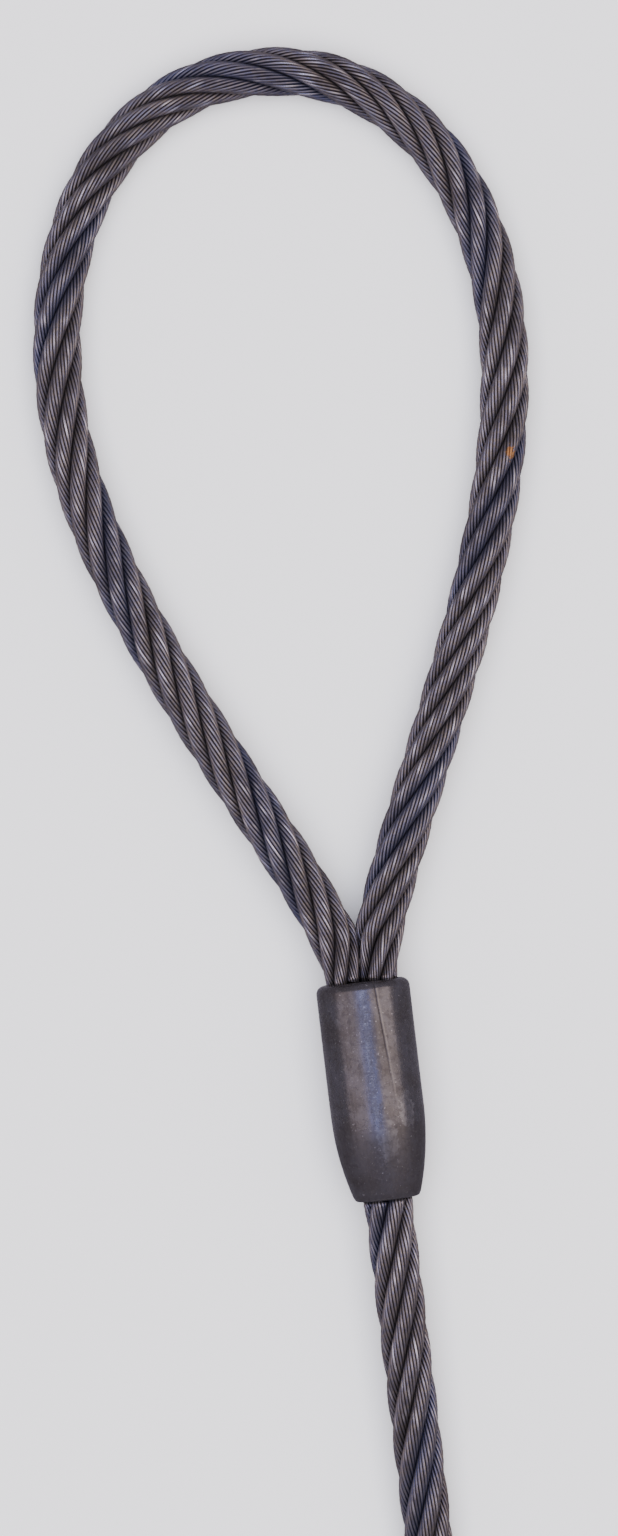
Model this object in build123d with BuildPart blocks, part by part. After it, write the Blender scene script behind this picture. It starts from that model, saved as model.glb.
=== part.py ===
from build123d import *
import math
import os

# Single-leg wire rope sling: one right regular lay rope of six strands over a steel core, a soft
# eye turned back at each end, and a tapered steel sleeve swaged over each splice.
# The sling lies on a flat surface, z = 0, with its length along Y. Millimetres.

# ---- driving dimensions ----
sling_length = 914.4  # bearing point to bearing point, inside the tops of the two eyes
rope_d = 12.7  # over the crowns of the strands
strand_count = 6
lay_length = 77.5  # along the rope, for one full turn of a strand
strand_gap = 0.069  # between neighbouring strands of the rope
layer_gap = 0.03  # between the strands and what they lie on

sleeve_length = 56.0
sleeve_wall = 2.58  # at the mouth, after swaging
mouth_round = 2.2  # radius round the rim of the mouth
taper_length = 23.0  # the convex nose, up to the small end
small_end_wall = 1.95
small_end_round = 0.8
small_end_bore_gap = 0.1  # between the small end's bore and the rope
tail_stop = 21.0  # from the small end back to the cut ends of the turned-back strands
bore_cone_length = 8.0  # where the bore closes from both layers of strands down to the rope

# The sleeve at the far end doesn't lie quite square with the near one.
far_sideways = -6.0
far_turn = -3.0  # degrees
middle_x = 9.0  # the near sleeve's axis stands this far from the middle of the whole sling

# ---- what follows from them ----
rope_r = rope_d / 2


def nearest(ring_r, other_ring_r, turn):
    """How near two strands of the same lay come, axis to axis, one turned on from the other.

    They are nearest a little above and below each other, so a range of rises is tried."""
    rises = [lay_length * step / 8000 for step in range(800)]
    turns = [turn - 2 * math.pi * rise / lay_length for rise in rises]
    return min(
        math.hypot(other_ring_r * math.cos(t) - ring_r, other_ring_r * math.sin(t), rise)
        for t, rise in zip(turns, rises)
    )


def largest(fits, low, high):
    """The largest value between two limits that still fits, found by halving the range."""
    for _ in range(40):
        middle = (low + high) / 2
        low, high = (middle, high) if fits(middle) else (low, middle)
    return low


def strands_clear(diameter):
    ring_r = rope_r - diameter / 2
    return nearest(ring_r, ring_r, 2 * math.pi / strand_count) > diameter + strand_gap


def tails_foul(ring_r):
    return nearest(live_ring_r, ring_r, math.pi / strand_count) < strand_d + layer_gap


# The strands are as thick as the rope has room for, and the turned-back ones lie in the valleys
# of the live ones, on the smallest ring that keeps the gap.
strand_d = largest(strands_clear, 0, rope_r)
strand_r = strand_d / 2
live_ring_r = rope_r - strand_r  # where the rope's own strands lie
core_r = live_ring_r - strand_r - layer_gap
tail_ring_r = largest(tails_foul, live_ring_r, live_ring_r + strand_d + layer_gap)
tail_length = sleeve_length - tail_stop
bore_r = tail_ring_r + strand_r + layer_gap
sleeve_r = bore_r + sleeve_wall
small_end_bore_r = rope_r + small_end_bore_gap
small_end_r = small_end_bore_r + small_end_wall
leg_side = bore_r - rope_r  # the two legs of an eye meet the mouth side by side
end_run = 6.0  # straight out of a mouth

# Routes of the rope. Each point is across, along and lift, where lift is 0 for rope that lies on
# the floor and 1 at the height of a sleeve's axis. An eye's points count from its sleeve's mouth.
NEAR_EYE = [
    (-6, 15, 0.96),
    (-15, 33.5, 0.88),
    (-32, 67, 0.70),
    (-48, 103, 0.52),
    (-57.5, 134, 0.36),
    (-60, 163, 0.22),
    (-55.5, 191, 0.10),
    (-43, 216.3, 0.03),
    (-21.5, 233, 0),
    (3, 236.7, 0),
    (26.5, 230, 0),
    (45, 211.5, 0.04),
    (54.5, 187, 0.12),
    (56.5, 159, 0.24),
    (51.5, 128, 0.39),
    (41.5, 97, 0.55),
    (28.5, 66, 0.71),
    (14, 33.5, 0.88),
    (6, 15, 0.96),
]
FAR_EYE = [
    (-6, 15, 0.96),
    (-14, 34, 0.88),
    (-29.5, 67, 0.70),
    (-44, 100, 0.53),
    (-54.5, 131, 0.37),
    (-59, 161, 0.22),
    (-56.5, 190, 0.10),
    (-44.5, 216, 0.03),
    (-22.5, 233, 0),
    (3, 236.9, 0),
    (27, 230, 0),
    (46.5, 212, 0.04),
    (57.5, 187, 0.12),
    (60, 158, 0.24),
    (54.5, 127, 0.40),
    (43.5, 96.5, 0.55),
    (30.5, 66, 0.71),
    (15, 33.5, 0.88),
    (6, 15, 0.96),
]
# The body's points count from the near sleeve's small end, and its last ones from the far one's.
BODY_NEAR = [
    (0, -26, 1),
    (0.2, -66, 0.62),
    (-0.1, -112, 0.12),
    (-0.6, -162, 0),
    (-0.9, -208, 0.04),
]
BODY_FAR = [
    (1.0, -88, 0.2),
    (0.3, -52, 0.72),
    (0, -22, 1),
]


# ---- where each sleeve sits ----
def mouth_plane(x, y, turn):
    """The plane of a sleeve's mouth: its normal points into the eye, its x lies level."""
    swing = math.radians(turn)
    return Plane(
        origin=(x, y, sleeve_r),
        x_dir=(math.cos(swing), math.sin(swing), 0),
        z_dir=(-math.sin(swing), math.cos(swing), 0),
    )


def from_mouth(mouth, across, along, lift):
    """A point in space from across and along the sleeve's axis, and from its lift off the floor."""
    spot = mouth.origin + mouth.x_dir * across + mouth.z_dir * along
    return Vector(spot.X, spot.Y, rope_r + lift * (sleeve_r - rope_r))


# ---- routes ----
def bend_radii(points):
    """The largest arc that each corner of a route has room for."""
    radii = []
    for before, corner, after in zip(points, points[1:], points[2:]):
        turn = math.radians((corner - before).get_angle(after - corner))
        shorter = min((corner - before).length, (after - corner).length)
        radii.append(0.45 * shorter / math.tan(turn / 2))
    return radii


def eye_route(mouth, points):
    ends = [(leg_side, 0, 1), (leg_side, end_run, 1)]
    left = [(-across, along, lift) for across, along, lift in ends]
    route = left + points + ends[::-1]
    return [from_mouth(mouth, *point) for point in route]


def eye_top(points):
    """How far the middle of the rope stands from the mouth at the top of an eye."""
    route = eye_route(mouth_plane(0, 0, 0), points)
    with BuildLine() as path:
        FilletPolyline(*route, radius=bend_radii(route))
    return path.line.bounding_box().max.Y


# The origin is under the middle of the whole sling, and the near eye's top is its highest Y.
near_mouth_y = sling_length / 2 + rope_r - eye_top(NEAR_EYE)
far_mouth_y = -sling_length / 2 - rope_r + eye_top(FAR_EYE)
body_length = near_mouth_y - far_mouth_y - 2 * sleeve_length
near_mouth = mouth_plane(middle_x, near_mouth_y, 0)
far_mouth = mouth_plane(middle_x + far_sideways, far_mouth_y, 180 + far_turn)


def body_route():
    near_end = [(0, 0, 1)] + BODY_NEAR
    far_end = BODY_FAR + [(0, 0, 1)]
    near = [from_mouth(near_mouth, x, y - sleeve_length, lift) for x, y, lift in near_end]
    far = [from_mouth(far_mouth, x, y - sleeve_length, lift) for x, y, lift in far_end]
    return near + far


def halves(points):
    """The two halves of a route, parted in the middle of its middle run, with their radii."""
    radii = bend_radii(points)
    half = len(points) // 2
    middle = (points[half - 1] + points[half]) * 0.5
    return [
        (points[:half] + [middle], radii[: half - 1]),
        ([middle] + points[half:], radii[half - 1 :]),
    ]


def swept_rod(stretch, radius, mode=Mode.ADD):
    """A round rod along a route, added to or cut from the part being built."""
    points, radii = stretch
    with BuildLine() as path:
        FilletPolyline(*points, radius=radii)
    wire = path.wire()
    with BuildSketch(Plane(origin=wire @ 0, z_dir=wire % 0)) as section:
        Circle(radius)
    sweep(section.sketch, path=wire, mode=mode)
    return wire.length


# ---- pieces ----
os.makedirs("parts", exist_ok=True)


def keep(piece, name):
    piece.part.label = name
    export_step(piece.part, f"parts/{name}.step")


def make_rope(name, stretches):
    """One length of rope as its core and, round that, the layer of strands."""
    with BuildPart() as core:
        length = sum(swept_rod(stretch, core_r) for stretch in stretches)
    with BuildPart() as strands:
        for stretch in stretches:
            swept_rod(stretch, rope_r)
        for stretch in stretches:
            swept_rod(stretch, core_r, Mode.SUBTRACT)
    keep(core, f"{name}_core")
    keep(strands, f"{name}_strands")
    made = core.part.volume + strands.part.volume
    print(name, "length", round(length, 1), "volume over section times length",
          round(made / (math.pi * rope_r**2 * length), 4))
    print("  radii", [round(radius, 1) for _, radii in stretches for radius in radii])


def make_sleeve(name, mouth):
    """Turned about its axis: a rounded mouth, a long barrel and a convex nose."""
    section = Plane(origin=mouth.origin, x_dir=mouth.x_dir, z_dir=(0, 0, 1))
    rim_corner = (sleeve_r, 0)
    shoulder = (sleeve_r, taper_length - sleeve_length)
    tip_corner = (small_end_r, -sleeve_length)
    with BuildPart() as sleeve:
        with BuildSketch(section) as profile:
            with BuildLine():
                Polyline(
                    tip_corner,
                    (small_end_bore_r, -sleeve_length),
                    (small_end_bore_r, -tail_length - bore_cone_length),
                    (bore_r, -tail_length),
                    (bore_r, 0),
                    rim_corner,
                    shoulder,
                )
                TangentArc(shoulder, tip_corner, tangent=(0, -1))
            make_face()
            rounds = (
                (rim_corner, min(mouth_round, 0.95 * sleeve_wall)),
                (tip_corner, small_end_round),
            )
            for corner, radius in rounds:
                fillet(profile.vertices().sort_by_distance(corner)[0], radius)
        revolve(axis=Axis(mouth.origin, mouth.z_dir))
    keep(sleeve, name)


def make_sleeve_strand(name, mouth, ring_r, angle, length):
    """One strand inside a sleeve, laid right-handed about the sleeve's axis from its mouth."""
    spare = strand_d  # cut away again, so that the ends lie flat across the axis
    start = mouth.offset(-length - spare).location * Rotation(0, 0, angle)
    helix = start * Helix(lay_length, length + 2 * spare, ring_r)
    with BuildPart() as strand:
        with BuildLine() as path:
            add(helix)
        with BuildSketch(Plane(origin=helix @ 0, z_dir=helix % 0)):
            Circle(strand_r)
        sweep(path=path.wire(), is_frenet=True)
        split(bisect_by=mouth, keep=Keep.BOTTOM)
        split(bisect_by=mouth.offset(-length), keep=Keep.TOP)
    keep(strand, name)


def make_splice(name, mouth):
    """What a sleeve is swaged onto: the rope's own core and strands, and the tails between them."""
    with BuildPart() as core:
        with BuildSketch(mouth.offset(-sleeve_length)):
            Circle(core_r)
        extrude(amount=sleeve_length)
    keep(core, f"{name}_core")
    share = 360 / strand_count
    # Strands inside are turned so that they come out in the same place at every mouth.
    for number in range(strand_count):
        live_start = number * share - 360 * sleeve_length / lay_length
        tail_start = (number + 0.5) * share - 360 * tail_length / lay_length
        back = 360 * strand_d / lay_length
        make_sleeve_strand(
            f"{name}_live_strand_{number + 1}", mouth, live_ring_r, live_start - back, sleeve_length
        )
        make_sleeve_strand(
            f"{name}_tail_strand_{number + 1}", mouth, tail_ring_r, tail_start - back, tail_length
        )


print("strand", round(strand_d, 3), "tail ring", round(tail_ring_r, 3), "core", round(core_r, 3))
print("bore", round(bore_r, 3), "sleeve", round(2 * sleeve_r, 3), "body", round(body_length, 1))
make_rope("near_eye", halves(eye_route(near_mouth, NEAR_EYE)))
make_rope("far_eye", halves(eye_route(far_mouth, FAR_EYE)))
make_rope("body", [(body_route(), bend_radii(body_route()))])
for end, mouth in (("near", near_mouth), ("far", far_mouth)):
    make_sleeve(f"{end}_sleeve", mouth)
    make_splice(f"{end}_splice", mouth)
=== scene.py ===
import math

import bmesh
import bpy
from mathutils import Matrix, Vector


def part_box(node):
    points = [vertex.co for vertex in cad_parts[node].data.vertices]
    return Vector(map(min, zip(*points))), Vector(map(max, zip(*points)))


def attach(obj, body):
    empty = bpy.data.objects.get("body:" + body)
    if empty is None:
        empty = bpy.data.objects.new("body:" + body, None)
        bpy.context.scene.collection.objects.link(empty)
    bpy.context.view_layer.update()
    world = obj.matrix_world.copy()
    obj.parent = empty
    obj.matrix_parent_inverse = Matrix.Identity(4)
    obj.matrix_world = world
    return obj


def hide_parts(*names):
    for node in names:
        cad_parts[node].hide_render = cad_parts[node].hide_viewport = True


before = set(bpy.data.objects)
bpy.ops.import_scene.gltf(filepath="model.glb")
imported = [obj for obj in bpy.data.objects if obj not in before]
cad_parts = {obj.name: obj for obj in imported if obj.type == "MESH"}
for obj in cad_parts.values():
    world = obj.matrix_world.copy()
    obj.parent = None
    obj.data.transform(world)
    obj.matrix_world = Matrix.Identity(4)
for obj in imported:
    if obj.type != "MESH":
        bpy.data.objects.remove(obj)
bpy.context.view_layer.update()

# Single-leg wire rope sling, lying along Y on the floor at z = 0. Metres.

# ---- sizes ----
ROPE_D = 0.0127
ROPE_R = ROPE_D / 2
STRAND_COUNT = 6
STRAND_R = 0.00208
LAY_LENGTH = 0.0775
RING_R = ROPE_R - STRAND_R  # from the rope's axis to a strand's
CORE_R = RING_R - STRAND_R
OUTER_WIRES = 12
WIRE_LAY = 0.0206  # along the rope, for one turn of a wire round its strand, against the strand
CORE_STRANDS = 6
CORE_LAY = 0.045

MOUTH_BUNDLE = 0.0183  # across both legs where the strands crowd into a sleeve
THROAT_LENGTH = 0.014  # over which the legs crowd together

near_sleeve_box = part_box("near_sleeve")
SLEEVE_LENGTH = near_sleeve_box[1][1] - near_sleeve_box[0][1]
SLEEVE_R = (near_sleeve_box[1][0] - near_sleeve_box[0][0]) / 2
BORE_R = 0.009473
LEG_SIDE = BORE_R - ROPE_R  # the legs' offset from the sleeve's axis at the mouth
END_RUN = 0.006
LEG_SPLAY = 0.0009  # how far each leg leans out over the end run
NEAR_TURN = 0.0
FAR_TURN = math.radians(177)


# ---- where the sleeves sit, and the rope's routes ----
class Seat:
    """A sleeve's mouth: its middle, the axis that points into the eye, and the way across."""

    def __init__(self, end, turn):
        low, high = (Vector(corner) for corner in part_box(f"{end}_splice_core"))
        self.turn = turn
        self.axis = Vector((-math.sin(turn), math.cos(turn), 0))
        self.across = Vector((math.cos(turn), math.sin(turn), 0))
        self.mouth = (low + high) / 2 + self.axis * SLEEVE_LENGTH / 2

    def point(self, across, along, lift):
        """From millimetres across and along, and from lift: 0 on the floor, 1 at the axis."""
        spot = self.mouth + self.across * across / 1000 + self.axis * along / 1000
        spot.z = ROPE_R + lift * (SLEEVE_R - ROPE_R)
        return spot


near = Seat("near", NEAR_TURN)
far = Seat("far", FAR_TURN)

NEAR_EYE = [
    (-6.7, 15, 0.96),
    (-15, 33.5, 0.88),
    (-32, 67, 0.70),
    (-48, 103, 0.52),
    (-57.5, 134, 0.36),
    (-60, 163, 0.22),
    (-55.5, 191, 0.10),
    (-43, 216.3, 0.03),
    (-21.5, 233, 0),
    (3, 236.7, 0),
    (26.5, 230, 0),
    (45, 211.5, 0.04),
    (54.5, 187, 0.12),
    (56.5, 159, 0.24),
    (51.5, 128, 0.39),
    (41.5, 97, 0.55),
    (28.5, 66, 0.71),
    (14, 33.5, 0.88),
    (6.7, 15, 0.96),
]
FAR_EYE = [
    (-6.7, 15, 0.96),
    (-14, 34, 0.88),
    (-29.5, 67, 0.70),
    (-44, 100, 0.53),
    (-54.5, 131, 0.37),
    (-59, 161, 0.22),
    (-56.5, 190, 0.10),
    (-44.5, 216, 0.03),
    (-22.5, 233, 0),
    (3, 236.9, 0),
    (27, 230, 0),
    (46.5, 212, 0.04),
    (57.5, 187, 0.12),
    (60, 158, 0.24),
    (54.5, 127, 0.40),
    (43.5, 96.5, 0.55),
    (30.5, 66, 0.71),
    (15, 33.5, 0.88),
    (6.7, 15, 0.96),
]
BODY_NEAR = [
    (0, 0, 1),
    (0, -26, 1),
    (0.2, -66, 0.62),
    (-0.1, -112, 0.12),
    (-0.6, -162, 0),
    (-0.9, -208, 0.04),
]
BODY_FAR = [
    (1.0, -88, 0.2),
    (0.3, -52, 0.72),
    (0, -22, 1),
    (0, 0, 1),
]


def eye_route(seat, points):
    """An eye from mouth to mouth: the legs lean apart as soon as they leave it."""
    side, run, splay = LEG_SIDE * 1000, END_RUN * 1000, LEG_SPLAY * 1000
    route = [(-side, 0, 1), (-side - splay, run, 1)] + points
    route += [(side + splay, run, 1), (side, 0, 1)]
    return [seat.point(*point) for point in route]


def body_route():
    """The body from the near sleeve's nose to the far one's."""
    end = SLEEVE_LENGTH * 1000
    near_part = [near.point(x, y - end, lift) for x, y, lift in BODY_NEAR]
    return near_part + [far.point(x, y - end, lift) for x, y, lift in BODY_FAR]


def route_mesh(name, points):
    """The route's smooth line as a mesh of points and edges, read from its NURBS spline."""
    data = bpy.data.curves.new(name, "CURVE")
    data.dimensions = "3D"
    data.resolution_u = 24
    spline = data.splines.new("NURBS")
    spline.points.add(len(points) - 1)
    for place, point in zip(spline.points, points):
        place.co = (*point, 1)
    spline.order_u = 3
    spline.use_endpoint_u = True
    curve = bpy.data.objects.new(name, data)
    bpy.context.scene.collection.objects.link(curve)
    seen = curve.evaluated_get(bpy.context.evaluated_depsgraph_get())
    mesh = bpy.data.meshes.new_from_object(seen)
    bpy.data.objects.remove(curve)
    return mesh


# ---- camera ----
# It looks straight down on the near eye, its sleeve and the first of the body, and is rolled so
# that the sling's axis leans to the left.
FRAME_HEIGHT = 0.3941  # how much is seen, top to bottom, at the height of the sleeve's axis
CAMERA_HEIGHT = 1.5  # above that axis
SENSOR = 36.0
LEAN = math.radians(6.8)

camera_data = bpy.data.cameras.new("camera")
camera_data.sensor_fit = "VERTICAL"
camera_data.sensor_height = SENSOR
camera_data.lens = SENSOR * CAMERA_HEIGHT / FRAME_HEIGHT
camera_data.clip_end = 20
camera = bpy.data.objects.new("camera", camera_data)
camera.location = near.mouth + Vector((-0.0070, 0.0560, CAMERA_HEIGHT))
camera.rotation_euler = (0, 0, -LEAN)
bpy.context.scene.collection.objects.link(camera)
bpy.context.scene.camera = camera


# ---- a plain way to write node trees ----
class Tree:
    """Adds nodes to a node tree and wires values, sockets and vectors into them."""

    def __init__(self, tree):
        self.nodes = tree.nodes
        self.links = tree.links

    def put(self, value, socket):
        if isinstance(value, bpy.types.NodeSocket):
            self.links.new(value, socket)
        elif value is not None:
            socket.default_value = value

    def node(self, kind, *values, **settings):
        """A node with its settings, and its inputs in order; None leaves one as it is."""
        made = self.nodes.new(kind)
        for key, value in settings.items():
            setattr(made, key, value)
        free = [socket for socket in made.inputs if socket.enabled]
        for value, socket in zip(values, free):
            self.put(value, socket)
        return made

    def math(self, operation, *values):
        return self.node("ShaderNodeMath", *values, operation=operation).outputs[0]

    def vector(self, operation, *values):
        made = self.node("ShaderNodeVectorMath", *values, operation=operation)
        return next(socket for socket in made.outputs if socket.enabled)

    def scaled(self, vector, factor):
        return self.vector("SCALE", vector, factor)

    def total(self, *vectors):
        result = vectors[0]
        for vector in vectors[1:]:
            result = self.vector("ADD", result, vector)
        return result

    def store(self, geometry, name, value, data_type, domain):
        """Geometry with a value kept on it under a name, for materials to read."""
        made = self.node("GeometryNodeStoreNamedAttribute", data_type=data_type, domain=domain)
        self.put(geometry, made.inputs["Geometry"])
        self.put(name, made.inputs["Name"])
        self.put(value, made.inputs["Value"])
        return made.outputs[0]

    def smooth(self, value, low, high, from_value=0.0, to_value=1.0):
        made = self.node(
            "ShaderNodeMapRange", value, low, high, from_value, to_value,
            interpolation_type="SMOOTHSTEP",
        )
        return made.outputs[0]

    def linear(self, value, low, high, from_value=0.0, to_value=1.0):
        made = self.node("ShaderNodeMapRange", value, low, high, from_value, to_value)
        return made.outputs[0]


# ---- the strand, laid by rule ----
def strand_tree():
    """A strand of a laid rope as one skin over its outer wires, open only at its two ends.

    A grid, along by round, is set out on the route: each wire is an arc of its own circle, the
    wires turn about the strand, and the strand turns the other way about the rope. Near an end
    with a throat the whole section is pressed narrower, taller and to one side."""
    tree = bpy.data.node_groups.new("laid strand", "GeometryNodeTree")
    sockets = (
        ("Geometry", "NodeSocketGeometry"),
        ("Ring radius", "NodeSocketFloat"),
        ("Strand radius", "NodeSocketFloat"),
        ("Lay length", "NodeSocketFloat"),
        ("Start turn", "NodeSocketFloat"),
        ("Wires", "NodeSocketInt"),
        ("Points per wire", "NodeSocketInt"),
        ("Wire lay", "NodeSocketFloat"),
        ("Step", "NodeSocketFloat"),
        ("Throat length", "NodeSocketFloat"),
        ("Throat width", "NodeSocketFloat"),
        ("Throat height", "NodeSocketFloat"),
        ("Throat shift", "NodeSocketFloat"),
        ("Stain", "NodeSocketFloat"),
        ("Stain before", "NodeSocketFloat"),
        ("Stain after", "NodeSocketFloat"),
        ("Bake rows", "NodeSocketInt"),
        ("Material", "NodeSocketMaterial"),
    )
    for name, kind in sockets:
        tree.interface.new_socket(name, in_out="INPUT", socket_type=kind)
    tree.interface.new_socket("Geometry", in_out="OUTPUT", socket_type="NodeSocketGeometry")
    t = Tree(tree)
    given = t.nodes.new("NodeGroupInput").outputs

    curve = t.node("GeometryNodeMeshToCurve", given["Geometry"]).outputs[0]
    length = t.node("GeometryNodeCurveLength", curve).outputs[0]
    along_count = t.math("ADD", t.math("CEIL", t.math("DIVIDE", length, given["Step"])), 1)
    round_count = t.math("ADD", t.math("MULTIPLY", given["Wires"], given["Points per wire"]), 1)
    grid = t.node("GeometryNodeMeshGrid", 1.0, 1.0, along_count, round_count)
    place = t.node("ShaderNodeSeparateXYZ", t.node("GeometryNodeInputPosition").outputs[0])
    share_along = t.math("ADD", place.outputs[0], 0.5)
    share_round = t.math("ADD", place.outputs[1], 0.5)
    reach = t.math("MULTIPLY", share_along, length)

    # The rope's own frame at this point: along it, level across it, and up from it.
    sample = t.node("GeometryNodeSampleCurve", mode="LENGTH")
    t.put(curve, sample.inputs["Curves"])
    t.put(reach, sample.inputs["Length"])
    middle, ahead = sample.outputs["Position"], sample.outputs["Tangent"]
    side = t.vector("NORMALIZE", t.vector("CROSS_PRODUCT", ahead, (0, 0, 1)))
    up = t.vector("CROSS_PRODUCT", side, ahead)

    # The strand's place and heading.
    turn_rate = t.math("DIVIDE", math.tau, given["Lay length"])
    turn = t.math("ADD", given["Start turn"], t.math("MULTIPLY", reach, turn_rate))
    cos_turn, sin_turn = t.math("COSINE", turn), t.math("SINE", turn)
    outward = t.total(t.scaled(up, cos_turn), t.scaled(side, sin_turn))
    onward = t.total(t.scaled(side, cos_turn), t.scaled(up, t.math("MULTIPLY", sin_turn, -1)))
    swing = t.math("MULTIPLY", turn_rate, given["Ring radius"])
    heading = t.vector("NORMALIZE", t.total(ahead, t.scaled(onward, swing)))
    sideways = t.vector("CROSS_PRODUCT", heading, outward)

    # The outer wires: arcs of circles that touch, turned against the strand.
    half_step = t.math("DIVIDE", math.pi, given["Wires"])
    sine = t.math("SINE", half_step)
    wire_r = t.math(
        "DIVIDE", t.math("MULTIPLY", given["Strand radius"], sine), t.math("ADD", 1, sine)
    )
    wire_ring = t.math("SUBTRACT", given["Strand radius"], wire_r)
    wire_place = t.math("MULTIPLY", share_round, given["Wires"])
    wire_number = t.math("MINIMUM", t.math("FLOOR", wire_place), t.math("SUBTRACT", given["Wires"], 1))
    within = t.math("SUBTRACT", t.math("SUBTRACT", wire_place, wire_number), 0.5)
    arc_half = t.math("ADD", math.pi / 2, half_step)
    arc = t.math("MULTIPLY", within, t.math("MULTIPLY", arc_half, 2))
    wire_out = t.math("ADD", wire_ring, t.math("MULTIPLY", wire_r, t.math("COSINE", arc)))
    wire_side = t.math("MULTIPLY", wire_r, t.math("SINE", arc))
    wire_turn = t.math(
        "SUBTRACT",
        t.math("MULTIPLY", t.math("ADD", wire_number, 0.5), t.math("MULTIPLY", half_step, 2)),
        t.math("DIVIDE", t.math("MULTIPLY", reach, math.tau), given["Wire lay"]),
    )
    cos_wire, sin_wire = t.math("COSINE", wire_turn), t.math("SINE", wire_turn)
    in_out = t.math(
        "SUBTRACT", t.math("MULTIPLY", wire_out, cos_wire), t.math("MULTIPLY", wire_side, sin_wire)
    )
    in_side = t.math(
        "ADD", t.math("MULTIPLY", wire_out, sin_wire), t.math("MULTIPLY", wire_side, cos_wire)
    )
    from_middle = t.total(
        t.scaled(outward, t.math("ADD", given["Ring radius"], in_out)),
        t.scaled(sideways, in_side),
    )

    # The throat presses the section, full at the very end and none a throat's length away.
    from_end = t.math("MINIMUM", reach, t.math("SUBTRACT", length, reach))
    press = t.smooth(from_end, 0.0, given["Throat length"], 1.0, 0.0)
    across = t.vector("DOT_PRODUCT", from_middle, side)
    rise = t.vector("DOT_PRODUCT", from_middle, up)
    less = t.math("MULTIPLY", press, t.math("SUBTRACT", given["Throat width"], 1))
    more = t.math("MULTIPLY", press, t.math("SUBTRACT", given["Throat height"], 1))
    pushed = t.math(
        "SUBTRACT", t.math("MULTIPLY", across, less), t.math("MULTIPLY", press, given["Throat shift"])
    )
    pressed = t.total(
        middle, from_middle, t.scaled(side, pushed), t.scaled(up, t.math("MULTIPLY", rise, more))
    )

    # What the material reads: how deep a point lies in the rope, and its place on its wire.
    depth = t.vector("LENGTH", from_middle)
    crown = t.math("ADD", given["Ring radius"], given["Strand radius"])
    shade = t.math("DIVIDE", depth, crown)
    flank = t.math("DIVIDE", in_side, given["Strand radius"])
    before = t.math("MULTIPLY", given["Stain before"], t.smooth(flank, -0.15, -0.9))
    after = t.math("MULTIPLY", given["Stain after"], t.smooth(flank, 0.15, 0.9))
    stain = t.math("ADD", given["Stain"], t.math("ADD", before, after))
    stored = t.store(grid.outputs["Mesh"], "crown", shade, "FLOAT", "POINT")
    stored = t.store(stored, "stain", stain, "FLOAT", "POINT")

    uv = t.node("ShaderNodeSeparateXYZ", grid.outputs["UV Map"])
    on_wire = t.node("ShaderNodeCombineXYZ", t.math("MULTIPLY", uv.outputs[0], length),
                     t.math("MULTIPLY", uv.outputs[1], given["Wires"]))
    wires = t.store(stored, "wires", on_wire.outputs[0], "FLOAT2", "CORNER")

    # The bake map: the strand's skin cut into rows that fill the square.
    face_share = t.node("GeometryNodeFieldOnDomain", uv.outputs[0], domain="FACE")
    row = t.math("FLOOR", t.math("MULTIPLY", face_share.outputs[0], given["Bake rows"]))
    in_row = t.math("SUBTRACT", t.math("MULTIPLY", uv.outputs[0], given["Bake rows"]), row)
    row_height = t.math("ADD", t.math("MULTIPLY", uv.outputs[1], 0.96), 0.02)
    bake = t.node(
        "ShaderNodeCombineXYZ",
        t.math("ADD", t.math("MULTIPLY", in_row, 0.98), 0.01),
        t.math("DIVIDE", t.math("ADD", row, row_height), given["Bake rows"]),
    )
    mapped = t.store(wires, "OFBake", bake.outputs[0], "FLOAT2", "CORNER")

    moved = t.node("GeometryNodeSetPosition")
    t.put(mapped, moved.inputs["Geometry"])
    t.put(pressed, moved.inputs["Position"])
    merged = t.node("GeometryNodeMergeByDistance")
    t.put(moved.outputs[0], merged.inputs["Geometry"])
    t.put(2e-6, merged.inputs["Distance"])
    smooth = t.node("GeometryNodeSetShadeSmooth", merged.outputs[0])
    real = t.node("GeometryNodeRealizeInstances", smooth.outputs[0])
    finish = t.node("GeometryNodeSetMaterial", real.outputs[0])
    t.put(given["Material"], finish.inputs["Material"])
    t.node("NodeGroupOutput", finish.outputs[0])
    return tree


def made_by(tree, name, start, values):
    """The plain mesh that a geometry tree makes from a starting mesh and its named inputs."""
    maker = bpy.data.objects.new(name, start)
    bpy.context.scene.collection.objects.link(maker)
    modifier = maker.modifiers.new("maker", "NODES")
    modifier.node_group = tree
    for socket in tree.interface.items_tree:
        if socket.in_out == "INPUT" and socket.name in values:
            modifier[socket.identifier] = values[socket.name]
    seen = maker.evaluated_get(bpy.context.evaluated_depsgraph_get())
    mesh = bpy.data.meshes.new_from_object(seen)
    mesh.name = name
    bpy.data.objects.remove(maker)
    if mesh.materials[0] is None:
        mesh.materials.pop(index=0)  # the tree leaves an empty slot before its own
    return mesh


def close_ends(mesh):
    """Closes a strand's two open ends and turns every face outwards."""
    work = bmesh.new()
    work.from_mesh(mesh)
    open_edges = [edge for edge in work.edges if edge.is_boundary]
    bmesh.ops.holes_fill(work, edges=open_edges, sides=0)
    bmesh.ops.recalc_face_normals(work, faces=work.faces)
    work.to_mesh(mesh)
    work.free()


def shown(mesh):
    """A mesh put in the scene under its own name."""
    piece = bpy.data.objects.new(mesh.name, mesh)
    bpy.context.scene.collection.objects.link(piece)
    return piece


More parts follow.
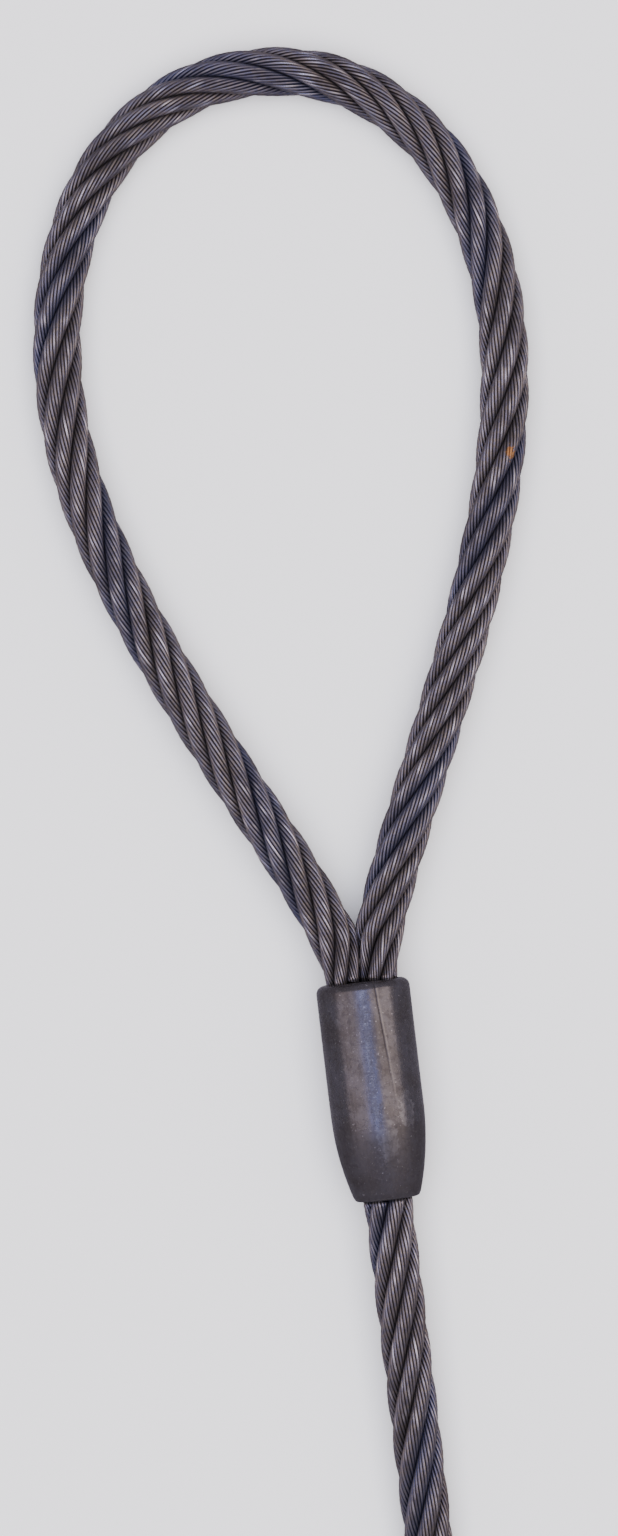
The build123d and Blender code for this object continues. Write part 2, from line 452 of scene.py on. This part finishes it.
# ---- materials ----
def group(name, inputs, outputs):
    """A shader node group: its tree to fill, the sockets given to it, and those it gives back."""
    tree = bpy.data.node_groups.new(name, "ShaderNodeTree")
    for label, kind in inputs:
        tree.interface.new_socket(label, in_out="INPUT", socket_type=f"NodeSocket{kind}")
    for label, kind in outputs:
        tree.interface.new_socket(label, in_out="OUTPUT", socket_type=f"NodeSocket{kind}")
    t = Tree(tree)
    return tree, t, t.nodes.new("NodeGroupInput").outputs, t.nodes.new("NodeGroupOutput").inputs


def placed(t, tree, **values):
    """A group put into a material with its own values, and what it gives."""
    made = t.nodes.new("ShaderNodeGroup")
    made.node_tree = tree
    for name, value in values.items():
        t.put(value, made.inputs[name.replace("_", " ").capitalize()])
    return made.outputs


def noise(t, place, scale, detail=2.0, rough=0.5):
    """Blender's noise at a place, from 0 to 1."""
    made = t.nodes.new("ShaderNodeTexNoise")
    t.put(place, made.inputs["Vector"])
    t.put(scale, made.inputs["Scale"])
    t.put(detail, made.inputs["Detail"])
    t.put(rough, made.inputs["Roughness"])
    return made.outputs[0]


def mixed(t, factor, first, second):
    """One colour turning into another as the factor goes from 0 to 1."""
    made = t.node("ShaderNodeMix", data_type="RGBA")
    t.put(factor, made.inputs[0])
    t.put(first, made.inputs[6])
    t.put(second, made.inputs[7])
    return made.outputs[2]


def bumped(t, height, distance, strength=1.0):
    """A normal bent by a height, given in parts of a distance in metres."""
    made = t.nodes.new("ShaderNodeBump")
    t.put(strength, made.inputs["Strength"])
    t.put(distance, made.inputs["Distance"])
    t.put(height, made.inputs["Height"])
    return made.outputs[0]


def new_material(name):
    """A material with one shader in it, its tree to fill and that shader's sockets."""
    made = bpy.data.materials.new(name)
    made.use_nodes = True
    made.node_tree.nodes.clear()
    t = Tree(made.node_tree)
    shader = t.node("ShaderNodeBsdfPrincipled")
    t.node("ShaderNodeOutputMaterial", shader.outputs[0])
    return made, t, shader.inputs


def film_group():
    """Old lubricant and dust: broad clouds with fine mottling in them, 0 clean to 1 coated."""
    tree, t, given, out = group(
        "old film",
        [("Place", "Vector"), ("Cloud size", "Float"), ("Bare below", "Float"), ("Coated above", "Float")],
        [("Mask", "Float"), ("Mottle", "Float")],
    )
    scale = t.math("DIVIDE", 1.0, given["Cloud size"])
    cloud = noise(t, given["Place"], scale, 3.0, 0.55)
    fine = noise(t, given["Place"], t.math("MULTIPLY", scale, 9.0), 2.0, 0.6)
    blend = t.math("ADD", t.math("MULTIPLY", cloud, 0.75), t.math("MULTIPLY", fine, 0.25))
    t.put(t.smooth(blend, given["Bare below"], given["Coated above"]), out["Mask"])
    t.put(fine, out["Mottle"])
    return tree


def wire_group():
    """Painted sheen, painted glints, dirt and painted shade on a strand's wires, from the place along and
    round the strand.
    """
    tree, t, given, out = group(
        "wire painted light and dirt",
        [("Wires", "Vector"), ("Crown", "Float"), ("Glint length", "Float")],
        [("Crest", "Float"), ("Glint", "Float"), ("Gap", "Float"), ("Depth", "Float"), ("Shade", "Float")],
    )
    parts = t.node("ShaderNodeSeparateXYZ", given["Wires"])
    along, around = parts.outputs[0], parts.outputs[1]
    number = t.math("FLOOR", around)
    own = t.nodes.new("ShaderNodeTexWhiteNoise")
    own.noise_dimensions = "1D"
    t.put(number, own.inputs["W"])
    lane = t.node(
        "ShaderNodeCombineXYZ", t.math("DIVIDE", along, given["Glint length"]),
        t.math("MULTIPLY", number, 5.7), t.math("MULTIPLY", own.outputs[0], 31.0),
    ).outputs[0]
    within = t.math("ABSOLUTE", t.math("SUBTRACT", t.math("FRACT", around), 0.5))
    # Crest: the middle of each wire, where a painted sheen goes.
    t.put(t.smooth(within, 0.37, 0.09), out["Crest"])
    # Glint: painted glints in dashes along the wires, near the strand's crest.
    lit = t.smooth(noise(t, lane, 1.0, 1.0), 0.54, 0.74)
    t.put(t.math("MULTIPLY", lit, t.smooth(given["Crown"], 0.80, 0.98)), out["Glint"])
    # Gap and Depth: dirt and painted shade between the wires and deep between the strands.
    t.put(t.smooth(within, 0.34, 0.47), out["Gap"])
    t.put(t.smooth(given["Crown"], 0.88, 0.64), out["Depth"])
    t.put(own.outputs[0], out["Shade"])
    return tree


def fleck_group():
    """A ragged fleck round one spot, such as rust or a chip: 1 inside, 0 outside."""
    tree, t, given, out = group(
        "fleck",
        [
            ("Place", "Vector"), ("Spot", "Vector"), ("Stretch", "Vector"),
            ("Radius", "Float"), ("Ragged", "Float"),
        ],
        [("Mask", "Float")],
    )
    away = t.vector("MULTIPLY", t.vector("SUBTRACT", given["Place"], given["Spot"]), given["Stretch"])
    distance = t.vector("LENGTH", away)
    scale = t.math("DIVIDE", 1.3, given["Radius"])
    waver = t.math("SUBTRACT", noise(t, given["Place"], scale, 3.0, 0.7), 0.5)
    rough_edge = t.math("MULTIPLY", waver, given["Ragged"])
    reach = t.math("ADD", t.math("DIVIDE", distance, given["Radius"]), rough_edge)
    t.put(t.smooth(reach, 1.0, 0.8), out["Mask"])
    return tree


OLD_FILM = film_group()
WIRE_PAINTED_LIGHT_AND_DIRT = wire_group()
FLECK = fleck_group()


STAIN_CREST = (0.155, 0.165, 0.250, 1)
STAIN_FLANK = (0.036, 0.049, 0.106, 1)
# The stained dirt colour also serves as painted shade between the wires and the strands.
STAIN_DIRT_AND_SHADE = (0.012, 0.020, 0.075, 1)
RUST_BROWN = (0.42, 0.21, 0.085, 1)


def wire_material(name, glint, crest, cool_crest, flank, dirt_and_shade, dull, rust_spots=()):
    """Drawn steel wires under old lubricant: a painted sheen and painted glints on the crests, dirt and
    painted shade between the wires and the strands.

    Where the strand is stained, its crests, flanks, dirt and painted shade all turn towards blue."""
    made, t, shader = new_material(name)
    wires = t.node("ShaderNodeUVMap", uv_map="wires").outputs[0]
    crown = t.node("ShaderNodeAttribute", attribute_name="crown").outputs["Fac"]
    stain = t.node("ShaderNodeAttribute", attribute_name="stain").outputs["Fac"]
    here = t.node("ShaderNodeTexCoord").outputs["Object"]
    painted_light_and_dirt = placed(t, WIRE_PAINTED_LIGHT_AND_DIRT, wires=wires, crown=crown, glint_length=0.0075)
    film = placed(t, OLD_FILM, place=here, cloud_size=0.009, bare_below=0.42, coated_above=0.66)

    stain = t.math("MULTIPLY", stain, t.linear(film["Mask"], 0.0, 1.0, 1.0, 0.6))
    # Each wire's crest is lighter than its flanks, a painted sheen, turning warm or cool in patches.
    crest = mixed(t, t.linear(film["Mottle"], 0.40, 0.60, 0.0, 1.0), crest, cool_crest)
    crest = mixed(t, t.math("MULTIPLY", stain, 0.55), crest, STAIN_CREST)
    flank = mixed(t, stain, flank, STAIN_FLANK)
    dirt_and_shade = mixed(t, stain, dirt_and_shade, STAIN_DIRT_AND_SHADE)
    crest_sheen = t.math("MULTIPLY", painted_light_and_dirt["Crest"], t.linear(painted_light_and_dirt["Shade"], 0, 1, 1.0, 0.6))
    bare_with_sheen = mixed(t, crest_sheen, flank, crest)
    coated = t.math("MULTIPLY", film["Mask"], dull)
    base = mixed(t, coated, bare_with_sheen, mixed(t, 0.4, dirt_and_shade, flank))
    # Painted glints near the crests of the strands.
    base = mixed(t, t.math("MULTIPLY", painted_light_and_dirt["Glint"], t.math("MULTIPLY", painted_light_and_dirt["Crest"], 0.8)), base, glint)
    # Dirt and painted shade in the gaps between the wires and deep between the strands.
    base = mixed(t, t.math("MULTIPLY", painted_light_and_dirt["Gap"], 0.8), base, dirt_and_shade)
    base = mixed(t, t.math("MULTIPLY", painted_light_and_dirt["Depth"], 0.7), base, dirt_and_shade)
    for spot, stretch, radius in rust_spots:
        rust = placed(t, FLECK, place=here, spot=spot, stretch=stretch, radius=radius, ragged=3.0)
        base = mixed(t, rust["Mask"], base, RUST_BROWN)
    t.put(base, shader["Base Color"])
    t.put(0.9, shader["Metallic"])
    rough = t.linear(painted_light_and_dirt["Glint"], 0, 1, 0.34, 0.22)
    rough = t.math("ADD", rough, t.math("MULTIPLY", coated, 0.14))
    rough = t.math("ADD", rough, t.math("MULTIPLY", painted_light_and_dirt["Depth"], 0.2))
    t.put(rough, shader["Roughness"])
    height = t.math("SUBTRACT", t.math("MULTIPLY", painted_light_and_dirt["Glint"], 0.5), painted_light_and_dirt["Gap"])
    t.put(bumped(t, height, 0.00004, 0.6), shader["Normal"])
    return made


# One spot of rust stands on the near eye's right leg, with a smaller one above it.
RUST = (
    (near.point(54.1, 130.1, 1.7), (1.0, 0.62, 0.3), 0.0013),
    (near.point(56.6, 143.4, 1.6), (1.0, 1.0, 0.3), 0.0004),
)
rope_steel = wire_material(
    "greased rope wire",
    glint=(0.70, 0.65, 0.69, 1),
    crest=(0.330, 0.285, 0.262, 1),
    cool_crest=(0.285, 0.268, 0.335, 1),
    flank=(0.095, 0.079, 0.077, 1),
    dirt_and_shade=(0.042, 0.034, 0.033, 1),
    dull=0.5,
    rust_spots=RUST,
)
core_steel = wire_material(
    "greased core wire",
    glint=(0.16, 0.15, 0.15, 1),
    crest=(0.10, 0.09, 0.09, 1),
    cool_crest=(0.10, 0.09, 0.10, 1),
    flank=(0.06, 0.05, 0.05, 1),
    dirt_and_shade=(0.03, 0.027, 0.027, 1),
    dull=0.8,
)


def packed_material():
    """Steel and lubricant pressed between the strands at the ends of a sleeve."""
    made, t, shader = new_material("packed lubricant")
    here = t.node("ShaderNodeTexCoord").outputs["Object"]
    film = placed(t, OLD_FILM, place=here, cloud_size=0.002, bare_below=0.35, coated_above=0.7)
    t.put(mixed(t, film["Mask"], (0.06, 0.055, 0.06, 1), (0.02, 0.018, 0.018, 1)), shader["Base Color"])
    t.put(0.4, shader["Metallic"])
    t.put(t.linear(film["Mottle"], 0.3, 0.7, 0.45, 0.75), shader["Roughness"])
    t.put(bumped(t, film["Mottle"], 0.0002), shader["Normal"])
    return made


packed = packed_material()


def sleeve_material(name, seat, marks):
    """Swaged steel: smooth from the dies, drawn streaks along it, brown oxide, rubs and nicks."""
    made, t, shader = new_material(name)
    here = t.node("ShaderNodeTexCoord").outputs["Object"]
    seated = t.node("ShaderNodeMapping", here, vector_type="TEXTURE")
    t.put(tuple(seat.mouth), seated.inputs["Location"])
    t.put((0, 0, seat.turn), seated.inputs["Rotation"])
    local = seated.outputs[0]
    film = placed(t, OLD_FILM, place=local, cloud_size=0.007, bare_below=0.36, coated_above=0.62)
    drawn = t.node("ShaderNodeMapping", local)
    t.put((900, 45, 900), drawn.inputs["Scale"])
    streaks = noise(t, drawn.outputs[0], 1.0, 3.0, 0.6)
    specks = noise(t, local, 1900, 1.0)

    base = mixed(t, film["Mask"], (0.135, 0.127, 0.145, 1), (0.100, 0.090, 0.094, 1))
    base = mixed(t, t.linear(streaks, 0.45, 0.75, 0.0, 0.45), base, (0.075, 0.066, 0.068, 1))
    blotches = noise(t, local, 700, 3.0, 0.65)
    base = mixed(t, t.linear(blotches, 0.50, 0.68, 0.0, 0.45), base, (0.060, 0.052, 0.056, 1))
    base = mixed(t, t.linear(film["Mottle"], 0.55, 0.75, 0.0, 0.5), base, (0.21, 0.195, 0.205, 1))
    base = mixed(t, t.smooth(specks, 0.71, 0.77, 0.0, 0.7), base, (0.42, 0.40, 0.43, 1))

    # Where the dies met: a dark line with a bright edge, down one side from the mouth.
    parts = t.node("ShaderNodeSeparateXYZ", local)
    across, along, lift = parts.outputs
    angle = t.math("ARCTAN2", across, lift)
    wander = t.math("MULTIPLY", t.math("SUBTRACT", noise(t, local, 160, 2.0), 0.5), 0.035)
    line_at = t.math("ADD", t.linear(along, -0.035, -0.002, 0.44, 0.245), wander)
    off = t.math("SUBTRACT", angle, line_at)
    fade = t.math("MULTIPLY", t.smooth(along, -0.038, -0.012), t.smooth(along, 0.0, -0.002))
    dark = t.math("MULTIPLY", t.smooth(t.math("ABSOLUTE", off), 0.026, 0.004), fade)
    beside = t.math("ABSOLUTE", t.math("SUBTRACT", off, 0.045))
    bright = t.math("MULTIPLY", t.smooth(beside, 0.030, 0.0), fade)
    base = mixed(t, t.math("MULTIPLY", dark, 0.8), base, (0.035, 0.030, 0.034, 1))
    base = mixed(t, t.math("MULTIPLY", bright, 0.45), base, (0.27, 0.25, 0.25, 1))

    rubbed = 0.0
    for spot, stretch, radius, strength in marks:
        mark = placed(t, FLECK, place=local, spot=spot, stretch=stretch, radius=radius, ragged=2.4)
        rubbed = t.math("MAXIMUM", rubbed, t.math("MULTIPLY", mark["Mask"], strength))
    rubbed = t.math("MULTIPLY", rubbed, t.linear(streaks, 0.35, 0.65, 0.25, 1.0))
    rubbed = t.math("MULTIPLY", rubbed, t.linear(blotches, 0.40, 0.60, 1.0, 0.3))
    base = mixed(t, rubbed, base, (0.27, 0.26, 0.28, 1))
    # The nose is darker and rougher: a duller finish there, with painted shade darkening the taper.
    nose = t.smooth(along, -0.034, -0.043)
    base = mixed(t, t.math("MULTIPLY", nose, 0.35), base, (0.070, 0.062, 0.064, 1))
    t.put(base, shader["Base Color"])
    t.put(0.85, shader["Metallic"])
    rough = t.linear(streaks, 0.3, 0.7, 0.17, 0.26)
    rough = t.math("ADD", rough, t.math("MULTIPLY", film["Mask"], 0.05))
    rough = t.math("ADD", rough, t.linear(blotches, 0.45, 0.7, 0.0, 0.10))
    rough = t.math("ADD", rough, t.math("MULTIPLY", rubbed, 0.12))
    t.put(t.math("ADD", rough, t.math("MULTIPLY", nose, 0.14)), shader["Roughness"])
    height = t.math("ADD", t.math("MULTIPLY", streaks, 0.35), t.math("MULTIPLY", film["Mottle"], 0.5))
    height = t.math("SUBTRACT", height, t.math("MULTIPLY", dark, 0.8))
    t.put(bumped(t, height, 0.00007, 0.7), shader["Normal"])
    return made


# Rubs on each sleeve, in its own frame: where, how stretched, how big and how strong.
NEAR_MARKS = (
    ((0.0077, -0.0332, 0.0093), (1.0, 0.55, 1.0), 0.0026, 0.8),
    ((0.0020, -0.0405, 0.0112), (1.0, 0.45, 1.0), 0.0028, 0.6),
    ((-0.0075, -0.0098, 0.0094), (1.0, 0.7, 1.0), 0.0010, 0.4),
)
FAR_MARKS = (
    ((-0.0062, -0.0300, 0.0103), (1.0, 0.50, 1.0), 0.0024, 0.6),
    ((0.0085, -0.0120, 0.0085), (1.0, 0.65, 1.0), 0.0016, 0.5),
)

# ---- rope ----
LAID_STRAND = strand_tree()
WIRE_POINTS = 6
STEP = 0.0013
CORE_POINTS = 4
CORE_STEP = 0.004
# In a throat the rope is pressed to these shares of its own width and height, and moved over.
THROAT_WIDTH = 0.76
THROAT_HEIGHT = 1.22
THROAT_SHIFT = (MOUTH_BUNDLE - THROAT_WIDTH * ROPE_D) / 2 - LEG_SIDE
# One strand is stained blue, and so are the flanks of its neighbours that face it: how much all
# over, on the flank towards the strand before, and on the flank towards the strand after.
STAINS = {0: (0.22, 0.62, 0.62), 1: (0.0, 0.65, 0.0), STRAND_COUNT - 1: (0.0, 0.0, 0.65)}


def rope(name, route, node, throat, start_turn):
    """One length of rope: six strands and the core, on the route's smooth line.

    The node is the CAD's for this length, and an eye has a throat at each end."""
    line_mesh = route_mesh(f"{name}_line", route)
    bake_rows = 5 if throat else 4  # an eye is longer, so its map is cut into more rows
    common = {
        "Lay length": LAY_LENGTH,
        "Throat length": THROAT_LENGTH if throat else 1e-6,
        "Throat width": THROAT_WIDTH if throat else 1.0,
        "Throat height": THROAT_HEIGHT if throat else 1.0,
        "Throat shift": THROAT_SHIFT if throat else 0.0,
    }
    for number in range(STRAND_COUNT):
        stain, stain_before, stain_after = STAINS.get(number, (0, 0, 0))
        mesh = made_by(
            LAID_STRAND,
            f"{name}_strand_{number + 1}",
            line_mesh,
            {
                **common,
                "Ring radius": RING_R,
                "Strand radius": STRAND_R,
                "Start turn": start_turn + math.tau * number / STRAND_COUNT,
                "Wires": OUTER_WIRES,
                "Points per wire": WIRE_POINTS,
                "Wire lay": WIRE_LAY,
                "Step": STEP,
                "Bake rows": bake_rows,
                "Stain": stain,
                "Stain before": stain_before,
                "Stain after": stain_after,
                "Material": rope_steel,
            },
        )
        close_ends(mesh)
        strand = shown(mesh)
        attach(strand, "root")
        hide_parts(f"{node}_strands")
    mesh = made_by(
        LAID_STRAND,
        f"{name}_core_rope",
        line_mesh,
        {
            **common,
            "Ring radius": 0.0,
            "Strand radius": CORE_R,
            "Start turn": 0.0,
            "Wires": CORE_STRANDS,
            "Points per wire": CORE_POINTS,
            "Wire lay": CORE_LAY,
            "Step": CORE_STEP,
            "Bake rows": bake_rows,
            "Material": core_steel,
        },
    )
    close_ends(mesh)
    core = shown(mesh)
    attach(core, "root")
    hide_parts(f"{node}_core")


EYE_START = math.radians(157.5)  # where the first strand stands as it leaves a mouth
BODY_START = math.radians(27.4)
rope("near_eye", eye_route(near, NEAR_EYE), "near_eye", True, EYE_START)
rope("body", body_route(), "body", False, BODY_START)
rope("far_eye", eye_route(far, FAR_EYE), "far_eye", True, EYE_START)

# ---- sleeves and splices ----
MOUTH_ROUND = 0.0022
TAPER_LENGTH = 0.023
SMALL_END_R = 0.0084
SMALL_END_ROUND = 0.0008
SLEEVE_SEGMENTS = 300
DIE_GROOVE_AT = 0.34  # radians round from the top
DIE_GROOVE_WIDTH = 0.06
PRESSED_DEPTH = 0.00005
HAND_WAVER = 0.00002
PACKED_PROUD = 0.00005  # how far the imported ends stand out, over the ends of the strands inside


def arc_points(middle, radius, start, stop, count):
    """Points on an arc in the sleeve's section, from one angle to another, in degrees."""
    angles = [math.radians(start + (stop - start) * n / count) for n in range(count + 1)]
    return [(middle[0] + radius * math.cos(a), middle[1] + radius * math.sin(a)) for a in angles]


def sleeve_section():
    """Radius and place along the axis, from the middle of the mouth round to that of the nose."""
    section = [(BORE_R * 0.5, PACKED_PROUD), (BORE_R - 0.0001, PACKED_PROUD), (BORE_R + 0.0001, 0)]
    section += arc_points((SLEEVE_R - MOUTH_ROUND, -MOUTH_ROUND), MOUTH_ROUND, 90, 0, 12)
    shoulder = TAPER_LENGTH - SLEEVE_LENGTH
    barrel = 24
    section += [(SLEEVE_R, -MOUTH_ROUND + (shoulder + MOUTH_ROUND) * n / barrel) for n in range(1, barrel)]
    # The nose is one arc that leaves the barrel smoothly and reaches the small end.
    drop = SLEEVE_R - SMALL_END_R
    nose_r = (TAPER_LENGTH**2 + drop**2) / (2 * drop)
    sweep = math.degrees(math.asin(TAPER_LENGTH / nose_r))
    nose = arc_points((SLEEVE_R - nose_r, shoulder), nose_r, 0, -sweep, 24)
    section += [point for point in nose if point[1] > SMALL_END_ROUND - SLEEVE_LENGTH]
    tip = (nose[-1][0] - SMALL_END_ROUND * 0.9, SMALL_END_ROUND - SLEEVE_LENGTH)
    section += arc_points(tip, SMALL_END_ROUND, -12, -90, 8)
    section += [
        (ROPE_R + 0.0002, -SLEEVE_LENGTH),
        (ROPE_R, -SLEEVE_LENGTH - PACKED_PROUD),
        (ROPE_R * 0.5, -SLEEVE_LENGTH - PACKED_PROUD),
    ]
    return section


def pressed_radius(radius, along, angle):
    """The dies leave a faint groove along each side, and the barrel a hair out of round."""
    if radius < SMALL_END_R:
        return radius
    groove = math.exp(-((math.remainder(angle - DIE_GROOVE_AT, math.pi) / DIE_GROOVE_WIDTH) ** 2))
    fade = min(1.0, max(0.0, -along / 0.004)) * min(1.0, max(0.0, (along + 0.045) / 0.015))
    waver = math.sin(along * 330 + math.sin(angle * 2)) * math.sin(angle * 3 + along * 90)
    flattened = (1 + math.cos(2 * angle)) / 2
    return radius - PRESSED_DEPTH * groove * fade - PRESSED_DEPTH * flattened + HAND_WAVER * waver


def sleeve_mesh(name, seat, steel):
    """A sleeve turned about its axis, with its ends closed round the strands."""
    work = bmesh.new()
    section = sleeve_section()

    def vertex(radius, along, angle):
        radius = pressed_radius(radius, along, angle)
        out = seat.across * math.sin(angle) * radius + Vector((0, 0, math.cos(angle) * radius))
        return work.verts.new(seat.mouth + out + seat.axis * along)

    rings = [
        [vertex(radius, along, math.tau * n / SLEEVE_SEGMENTS) for n in range(SLEEVE_SEGMENTS)]
        for radius, along in section
    ]
    packed_rings = {0, 1, len(rings) - 3, len(rings) - 2}
    for number, (ring, following) in enumerate(zip(rings, rings[1:])):
        for n in range(SLEEVE_SEGMENTS):
            m = (n + 1) % SLEEVE_SEGMENTS
            face = work.faces.new((ring[n], ring[m], following[m], following[n]))
            face.material_index = 1 if number in packed_rings else 0
    for ring, along in ((rings[0], PACKED_PROUD), (rings[-1], -SLEEVE_LENGTH - PACKED_PROUD)):
        middle = work.verts.new(seat.mouth + seat.axis * along)
        for n in range(SLEEVE_SEGMENTS):
            work.faces.new((middle, ring[n], ring[(n + 1) % SLEEVE_SEGMENTS])).material_index = 1
    bmesh.ops.recalc_face_normals(work, faces=work.faces)
    for face in work.faces:
        face.smooth = True
    mesh = bpy.data.meshes.new(name)
    work.to_mesh(mesh)
    work.free()
    mesh.materials.append(steel)
    mesh.materials.append(packed)
    return mesh


def inner_material():
    """The strands pressed inside a sleeve: bright where they bear, dark with lubricant between."""
    made, t, shader = new_material("inner strand")
    here = t.node("ShaderNodeTexCoord").outputs["Object"]
    film = placed(t, OLD_FILM, place=here, cloud_size=0.004, bare_below=0.4, coated_above=0.6)
    t.put(mixed(t, film["Mask"], (0.17, 0.16, 0.165, 1), (0.05, 0.045, 0.045, 1)), shader["Base Color"])
    t.put(1.0, shader["Metallic"])
    t.put(0.45, shader["Roughness"])
    return made


inner_steel = inner_material()

for end, seat, marks in (("near", near, NEAR_MARKS), ("far", far, FAR_MARKS)):
    steel = sleeve_material(f"{end} swaged steel", seat, marks)
    sleeve = shown(sleeve_mesh(f"{end}_swaged_sleeve", seat, steel))
    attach(sleeve, "root")
    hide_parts(f"{end}_sleeve")
    inside = [f"{end}_splice_core"]
    for kind in ("live", "tail"):
        inside += [f"{end}_splice_{kind}_strand_{n + 1}" for n in range(STRAND_COUNT)]
    for node in inside:
        bpy.data.objects[node].data.materials.clear()
        bpy.data.objects[node].data.materials.append(inner_steel)

# ---- stage ----
FLOOR_HALF = 3
floor_mesh = bpy.data.meshes.new("floor")
corners = [(-FLOOR_HALF, -FLOOR_HALF, 0), (FLOOR_HALF, -FLOOR_HALF, 0)]
corners += [(FLOOR_HALF, FLOOR_HALF, 0), (-FLOOR_HALF, FLOOR_HALF, 0)]
floor_mesh.from_pydata(corners, [], [(0, 1, 2, 3)])
floor = shown(floor_mesh)
paper, paper_tree, paper_shader = new_material("pale paper")
paper_tree.put((0.92, 0.92, 0.92, 1), paper_shader["Base Color"])
paper_tree.put(0.9, paper_shader["Roughness"])
floor.data.materials.append(paper)
floor.visible_glossy = False


def area_light(name, place, aim, size, power, colour, glossy=True):
    """A rectangular light at a place, turned towards its aim, in watts."""
    data = bpy.data.lights.new(name, "AREA")
    data.shape = "RECTANGLE"
    data.size, data.size_y = size
    data.energy = power
    data.color = colour
    light = bpy.data.objects.new(name, data)
    light.location = place
    light.rotation_euler = (Vector(aim) - Vector(place)).to_track_quat("-Z", "Y").to_euler()
    light.visible_glossy = glossy
    bpy.context.scene.collection.objects.link(light)


# A cool panel overhead with a narrow brighter one under it for the glints, a warm one leaning in
# from each side, and a fill that lights surfaces but shows in no reflection.
area_light("cool overhead", (-0.12, 0.4, 1.8), (-0.12, 0.4, 0), (1.15, 1.3), 7.0, (0.31, 0.42, 1.0))
area_light("cool glint", (-0.10, 0.36, 1.75), (-0.10, 0.36, 0), (0.10, 0.75), 1.2, (0.80, 0.86, 1.0))
area_light("warm left", (-1.45, 0.4, 1.55), (0, 0.4, 0), (1.4, 2.2), 10.3, (1.0, 0.86, 0.84))
area_light("warm right", (1.40, 0.4, 1.60), (0, 0.4, 0), (1.5, 2.2), 17.0, (1.0, 0.85, 0.72))
area_light("fill", (0, 0, 2.6), (0, 0, 0), (3.0, 4.0), 160, (1.0, 1.0, 1.0), glossy=False)

world = bpy.data.worlds.new("studio")
world.use_nodes = True
world.node_tree.nodes["Background"].inputs[0].default_value = (0.27, 0.245, 0.30, 1)
world.node_tree.nodes["Background"].inputs[1].default_value = 1.0
bpy.context.scene.world = world
